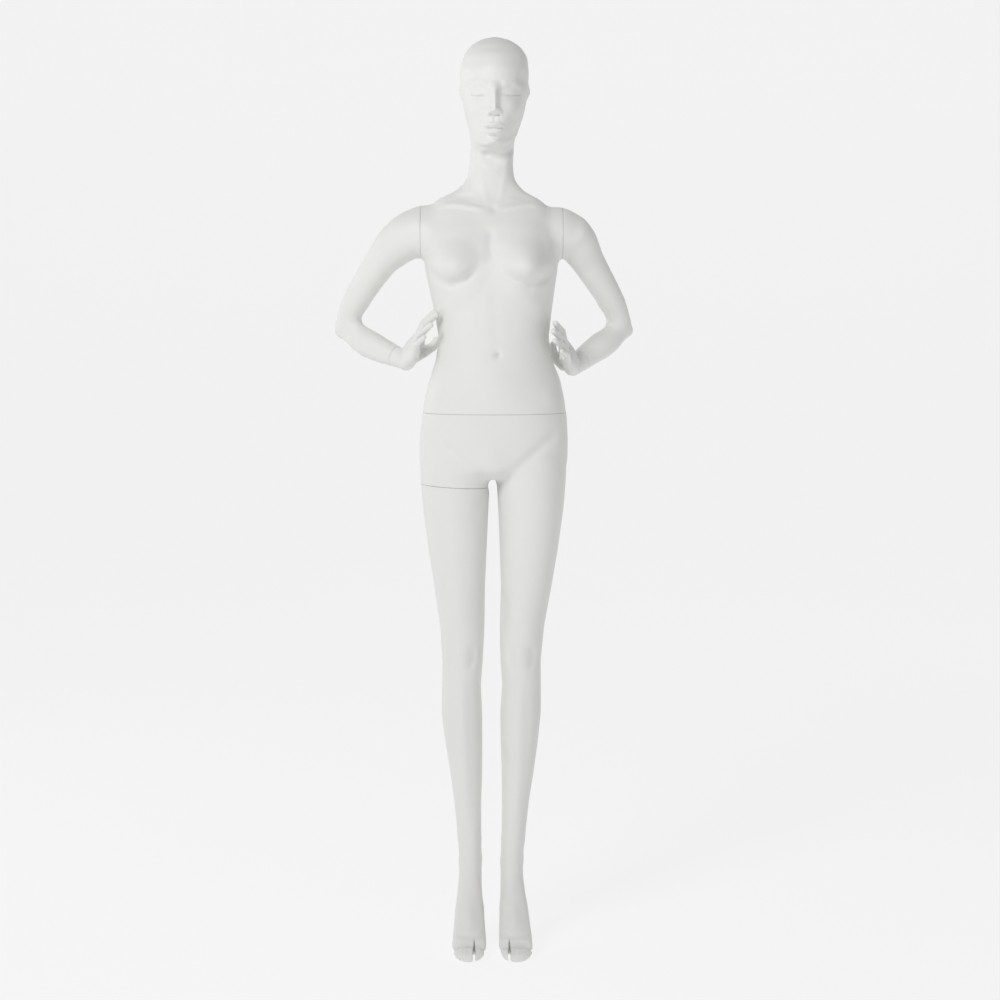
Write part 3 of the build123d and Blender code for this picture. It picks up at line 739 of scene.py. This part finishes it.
def addRim(piece, seam):
    # turns the open edge at a seam over a small round, across the wall and back down inside it
    where, axis = seams[seam][0], seams[seam][1].normalized()
    middle = Vector(points(piece).mean(axis=0))
    outwards = -axis if (middle - where).dot(axis) > 0 else axis
    shape = bmesh.new()
    shape.from_mesh(piece.data)
    shape.normal_update()

    def atSeam(corner):
        offset = corner.co - where
        return abs(offset.dot(axis)) < seamGap and offset.length < figure["seamReach"]

    loop = [edge for edge in shape.edges if edge.is_boundary and all(atSeam(corner) for corner in edge.verts)]
    carried = {}
    for edge in loop:
        for corner in edge.verts:
            inwards = -(corner.normal - axis * corner.normal.dot(axis)).normalized()
            carried[tuple(corner.co)] = (corner.co.copy(), inwards)
    for across, along in rim["steps"]:
        made = bmesh.ops.extrude_edge_only(shape, edges=loop)["geom"]
        moved = {}
        for corner in made:
            if isinstance(corner, bmesh.types.BMVert):
                start, inwards = carried[tuple(corner.co)]
                corner.co = start + inwards * (across * mm) + outwards * (along * mm)
                moved[tuple(corner.co)] = (start, inwards)
        carried = moved
        loop = [edge for edge in made if isinstance(edge, bmesh.types.BMEdge) and edge.is_boundary]
    shape.to_mesh(piece.data)
    shape.free()


pieces = {
    "upper_body": (upperBody, ["waist", "rightShoulder", "leftShoulder"]),
    "lower_body": (lowerBody, ["waist", "thigh"]),
    "right_leg": (rightLeg, ["thigh"]),
    "right_arm": (rightArm, ["rightShoulder", "rightWrist"]),
    "left_arm": (leftArm, ["leftShoulder", "leftWrist"]),
    "right_hand": (rightHand, ["rightWrist"]),
    "left_hand": (leftHand, ["leftWrist"]),
}
for body, (piece, seamNames) in pieces.items():
    for seam in seamNames:
        addRim(piece, seam)
    pick(piece)
    bpy.ops.object.mode_set(mode="EDIT")
    bpy.ops.mesh.select_all(action="SELECT")
    bpy.ops.mesh.normals_make_consistent(inside=False)
    objectMode()
    bpy.ops.object.shade_smooth_by_angle(angle=math.radians(50))
    print(body, len(piece.data.polygons), "faces")


# Materials. The shared effects are groups; each material sets its own values.
def newGroup(name, inputs, outputs):
    group = bpy.data.node_groups.new(name, "ShaderNodeTree")
    for title, kind, value in inputs:
        socket = group.interface.new_socket(title, in_out="INPUT", socket_type=kind)
        socket.default_value = value
    for title, kind in outputs:
        group.interface.new_socket(title, in_out="OUTPUT", socket_type=kind)
    return group, group.nodes.new("NodeGroupInput"), group.nodes.new("NodeGroupOutput")


number, colour, vector = "NodeSocketFloat", "NodeSocketColor", "NodeSocketVector"


def makeMottle():
    # a slow noise between two values, for tone and gloss that vary over a surface
    group, given, result = newGroup(
        "mottle",
        [("Scale", number, 12.0), ("Detail", number, 4.0), ("Low", number, 0.0), ("High", number, 1.0)],
        [("Value", number)])
    place = group.nodes.new("ShaderNodeTexCoord")
    noise = group.nodes.new("ShaderNodeTexNoise")
    noise.inputs["Roughness"].default_value = 0.55
    spread = group.nodes.new("ShaderNodeMapRange")
    spread.inputs["From Min"].default_value = 0.3
    spread.inputs["From Max"].default_value = 0.7
    links = group.links
    links.new(place.outputs["Object"], noise.inputs["Vector"])
    links.new(given.outputs["Scale"], noise.inputs["Scale"])
    links.new(given.outputs["Detail"], noise.inputs["Detail"])
    links.new(noise.outputs["Fac"], spread.inputs["Value"])
    links.new(given.outputs["Low"], spread.inputs["To Min"])
    links.new(given.outputs["High"], spread.inputs["To Max"])
    links.new(spread.outputs["Result"], result.inputs["Value"])
    return group


def makeFineBump():
    # the fine pebbled skin of sprayed paint, sawn wood or plating
    group, given, result = newGroup(
        "fineBump",
        [("Scale", number, 600.0), ("Height", number, 0.1), ("Distance", number, 0.0002)],
        [("Normal", vector)])
    place = group.nodes.new("ShaderNodeTexCoord")
    noise = group.nodes.new("ShaderNodeTexNoise")
    noise.inputs["Detail"].default_value = 3.0
    bump = group.nodes.new("ShaderNodeBump")
    links = group.links
    links.new(place.outputs["Object"], noise.inputs["Vector"])
    links.new(given.outputs["Scale"], noise.inputs["Scale"])
    links.new(noise.outputs["Fac"], bump.inputs["Height"])
    links.new(given.outputs["Height"], bump.inputs["Strength"])
    links.new(given.outputs["Distance"], bump.inputs["Distance"])
    links.new(bump.outputs["Normal"], result.inputs["Normal"])
    return group


def makeCreaseShadeAndEdges():
    # masks for painted shade in creases and for a paler tone on sharp edges, from how sharply the surface turns
    group, given, result = newGroup(
        "creaseShadeAndEdges",
        [("Crease", number, 0.47), ("Edge", number, 0.53)],
        [("Creases", number), ("Edges", number)])
    shape = group.nodes.new("ShaderNodeNewGeometry")
    low = group.nodes.new("ShaderNodeMapRange")
    low.inputs["From Max"].default_value = 0.4
    low.inputs["To Min"].default_value = 0.0
    low.inputs["To Max"].default_value = 1.0
    high = group.nodes.new("ShaderNodeMapRange")
    high.inputs["From Max"].default_value = 0.6
    links = group.links
    links.new(shape.outputs["Pointiness"], low.inputs["Value"])
    links.new(given.outputs["Crease"], low.inputs["From Min"])
    links.new(shape.outputs["Pointiness"], high.inputs["Value"])
    links.new(given.outputs["Edge"], high.inputs["From Min"])
    links.new(low.outputs["Result"], result.inputs["Creases"])
    links.new(high.outputs["Result"], result.inputs["Edges"])
    return group


def makeGrain():
    # long streaks along one direction, for wood grain and brushed metal
    group, given, result = newGroup(
        "grain",
        [("Stretch", vector, (40.0, 3.0, 40.0)), ("Scale", number, 3.0), ("Warp", number, 0.4)],
        [("Value", number)])
    place = group.nodes.new("ShaderNodeTexCoord")
    stretch = group.nodes.new("ShaderNodeVectorMath")
    stretch.operation = "MULTIPLY"
    noise = group.nodes.new("ShaderNodeTexNoise")
    noise.inputs["Detail"].default_value = 6.0
    links = group.links
    links.new(place.outputs["Object"], stretch.inputs[0])
    links.new(given.outputs["Stretch"], stretch.inputs[1])
    links.new(stretch.outputs["Vector"], noise.inputs["Vector"])
    links.new(given.outputs["Scale"], noise.inputs["Scale"])
    links.new(given.outputs["Warp"], noise.inputs["Distortion"])
    links.new(noise.outputs["Fac"], result.inputs["Value"])
    return group


mottle, fineBump, creaseShadeAndEdges, grain = makeMottle(), makeFineBump(), makeCreaseShadeAndEdges(), makeGrain()


def newMaterial(name):
    material = bpy.data.materials.new(name)
    material.use_nodes = True
    return material, material.node_tree, material.node_tree.nodes["Principled BSDF"]


def groupNode(tree, group, **values):
    node = tree.nodes.new("ShaderNodeGroup")
    node.node_tree = group
    for title, value in values.items():
        node.inputs[title].default_value = value
    return node


def mixed(tree, mask, first, second):
    # a colour between two, by a mask
    mix = tree.nodes.new("ShaderNodeMix")
    mix.data_type = "RGBA"
    tree.links.new(mask, mix.inputs[0])
    for socket, value in ((mix.inputs[6], first), (mix.inputs[7], second)):
        if isinstance(value, tuple):
            socket.default_value = value + (1.0,)
        else:
            tree.links.new(value, socket)
    return mix.outputs[2]


paint = {
    "colour": (0.80, 0.795, 0.775),
    "cooler": (0.775, 0.775, 0.76),
    # crease: the painted shade colour for creases; edge: a paler tone for sharp edges
    "crease": (0.56, 0.55, 0.53),
    "edge": (0.86, 0.855, 0.84),
    "roughLow": 0.5,
    "roughHigh": 0.62,
}
painted, tree, shader = newMaterial("paintedFibreglass")
tone = groupNode(tree, mottle, Scale=5.0, Detail=5.0)
gloss = groupNode(tree, mottle, Scale=22.0, Low=paint["roughLow"], High=paint["roughHigh"])
spray = groupNode(tree, fineBump, Scale=700.0, Height=0.16, Distance=0.0002)
creaseShadeEdgeMask = groupNode(tree, creaseShadeAndEdges, Crease=0.485, Edge=0.56)
base = mixed(tree, tone.outputs["Value"], paint["colour"], paint["cooler"])
# painted shade: creases are darkened towards the crease colour, and sharp edges are made paler
base = mixed(tree, creaseShadeEdgeMask.outputs["Creases"], base, paint["crease"])
base = mixed(tree, creaseShadeEdgeMask.outputs["Edges"], base, paint["edge"])
tree.links.new(base, shader.inputs["Base Color"])
tree.links.new(gloss.outputs["Value"], shader.inputs["Roughness"])
tree.links.new(spray.outputs["Normal"], shader.inputs["Normal"])
shader.inputs["IOR"].default_value = 1.46
shader.inputs["Specular IOR Level"].default_value = 0.35

wood = {"light": (0.62, 0.45, 0.27), "dark": (0.40, 0.26, 0.14), "roughLow": 0.6, "roughHigh": 0.8}
plywood, tree, shader = newMaterial("plywood")
streaks = groupNode(tree, grain, Stretch=(60.0, 5.0, 5.0), Scale=3.0, Warp=1.2)
gloss = groupNode(tree, mottle, Scale=40.0, Low=wood["roughLow"], High=wood["roughHigh"])
sawn = groupNode(tree, fineBump, Scale=350.0, Height=0.3, Distance=0.0003)
tree.links.new(mixed(tree, streaks.outputs["Value"], wood["light"], wood["dark"]), shader.inputs["Base Color"])
tree.links.new(gloss.outputs["Value"], shader.inputs["Roughness"])
tree.links.new(sawn.outputs["Normal"], shader.inputs["Normal"])

metals = {
    "steelFittings": {"light": (0.66, 0.67, 0.69), "dark": (0.50, 0.51, 0.53), "rough": (0.28, 0.42)},
    "zincScrews": {"light": (0.74, 0.73, 0.67), "dark": (0.56, 0.56, 0.52), "rough": (0.32, 0.5)},
    "springSteel": {"light": (0.34, 0.35, 0.38), "dark": (0.20, 0.21, 0.24), "rough": (0.3, 0.45)},
    "brass": {"light": (0.80, 0.62, 0.30), "dark": (0.62, 0.45, 0.20), "rough": (0.22, 0.38)},
}
metalMaterials = {}
for name, values in metals.items():
    metal, tree, shader = newMaterial(name)
    streaks = groupNode(tree, grain, Stretch=(400.0, 400.0, 20.0), Scale=2.0, Warp=0.2)
    low, high = values["rough"]
    gloss = groupNode(tree, mottle, Scale=120.0, Low=low, High=high)
    turned = groupNode(tree, fineBump, Scale=900.0, Height=0.12, Distance=0.0001)
    tree.links.new(mixed(tree, streaks.outputs["Value"], values["light"], values["dark"]),
                   shader.inputs["Base Color"])
    tree.links.new(gloss.outputs["Value"], shader.inputs["Roughness"])
    tree.links.new(turned.outputs["Normal"], shader.inputs["Normal"])
    shader.inputs["Metallic"].default_value = 1.0
    metalMaterials[name] = metal
print("materials ready")

for body, (piece, seamNames) in pieces.items():
    piece.data.materials.clear()
    piece.data.materials.append(painted)
    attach(piece, body)
    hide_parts(body + "_casting")
finishes = {
    "_board": (plywood, "plywood"),
    "_forearm_plug": (plywood, "plywood"),
    "_hand_plug": (plywood, "plywood"),
    "_plate": (metalMaterials["steelFittings"], "steel_fittings"),
    "_swivel_stud": (metalMaterials["steelFittings"], "steel_fittings"),
    "_wrist_peg": (metalMaterials["steelFittings"], "steel_fittings"),
    "_rod_tube": (metalMaterials["steelFittings"], "steel_fittings"),
    "_clip": (metalMaterials["springSteel"], "spring_steel"),
    "_screws": (metalMaterials["zincScrews"], "zinc_screws"),
    "_bush": (metalMaterials["brass"], "brass"),
}
for name, node in nodes.items():
    for ending, (material, slotName) in finishes.items():
        if name.endswith(ending):
            node.data.materials.clear()
            node.data.materials.append(material)
print("figure assembled")

# Stage: one pale sheet for floor and backdrop, soft lights from the front, the camera
stage = {
    "halfWidth": 14.0,
    "front": -7.0,
    "bendStart": 4.0,
    "bendRadius": 2.5,
    "height": 9.0,
    "colour": (0.15, 0.15, 0.15),
    "glow": 0.80,
}
profile = [(stage["front"], 0.0), (stage["bendStart"], 0.0)]
for step in range(1, 13):
    turn = math.radians(90 * step / 12)
    profile.append((stage["bendStart"] + stage["bendRadius"] * math.sin(turn),
                    stage["bendRadius"] * (1 - math.cos(turn))))
profile.append((stage["bendStart"] + stage["bendRadius"], stage["height"]))
rows = [(x * stage["halfWidth"], y, z) for y, z in profile for x in (-1, 1)]
strips = [(2 * i, 2 * i + 1, 2 * i + 3, 2 * i + 2) for i in range(len(profile) - 1)]
sheetMesh = bpy.data.meshes.new("backdrop")
sheetMesh.from_pydata(rows, [], strips)
backdrop = bpy.data.objects.new("backdrop", sheetMesh)
bpy.context.collection.objects.link(backdrop)
pick(backdrop)
bpy.ops.object.shade_smooth()
paper, tree, shader = newMaterial("paper")
tone = groupNode(tree, mottle, Scale=1.5, Low=stage["colour"][0] * 0.99, High=stage["colour"][0] * 1.01)
tree.links.new(tone.outputs["Value"], shader.inputs["Base Color"])
shader.inputs["Roughness"].default_value = 1.0
shader.inputs["Specular IOR Level"].default_value = 0.0
shader.inputs["Emission Color"].default_value = (1.0, 1.0, 1.0, 1.0)
shader.inputs["Emission Strength"].default_value = stage["glow"]
sheetMesh.materials.append(paper)

studio = {
    "world": 0.31,
    "key": {"at": (-1.9, -3.1, 3.3), "aim": (0.0, 0.0, 1.5), "size": 1.5, "power": 84.0},
    "fill": {"at": (2.6, -3.0, 1.7), "aim": (0.0, 0.0, 1.3), "size": 2.4, "power": 13.0},
    "rim": {"at": (-2.6, 1.4, 1.8), "aim": (0.0, 0.0, 1.1), "size": 1.6, "power": 12.0},
}
for name in ("key", "fill", "rim"):
    values = studio[name]
    lamp = bpy.data.lights.new(name, "AREA")
    lamp.shape = "DISK"
    lamp.size = values["size"]
    lamp.energy = values["power"]
    holder = bpy.data.objects.new(name, lamp)
    bpy.context.collection.objects.link(holder)
    holder.location = values["at"]
    away = Vector(values["at"]) - Vector(values["aim"])
    holder.rotation_euler = away.to_track_quat("Z", "Y").to_euler()
world = bpy.data.worlds.new("studio")
bpy.context.scene.world = world
world.use_nodes = True
world.node_tree.nodes["Background"].inputs["Color"].default_value = (1.0, 1.0, 1.0, 1.0)
world.node_tree.nodes["Background"].inputs["Strength"].default_value = studio["world"]
bpy.context.scene.view_settings.view_transform = "Standard"

view = {"at": (0.033, -4.2, 1.30), "down": 5.20, "lens": 75.02}
lens = bpy.data.cameras.new("camera")
lens.lens = view["lens"]
camera = bpy.data.objects.new("camera", lens)
bpy.context.collection.objects.link(camera)
camera.location = view["at"]
camera.rotation_euler = (math.radians(90 - view["down"]), 0, 0)
bpy.context.scene.camera = camera
print("stage set")
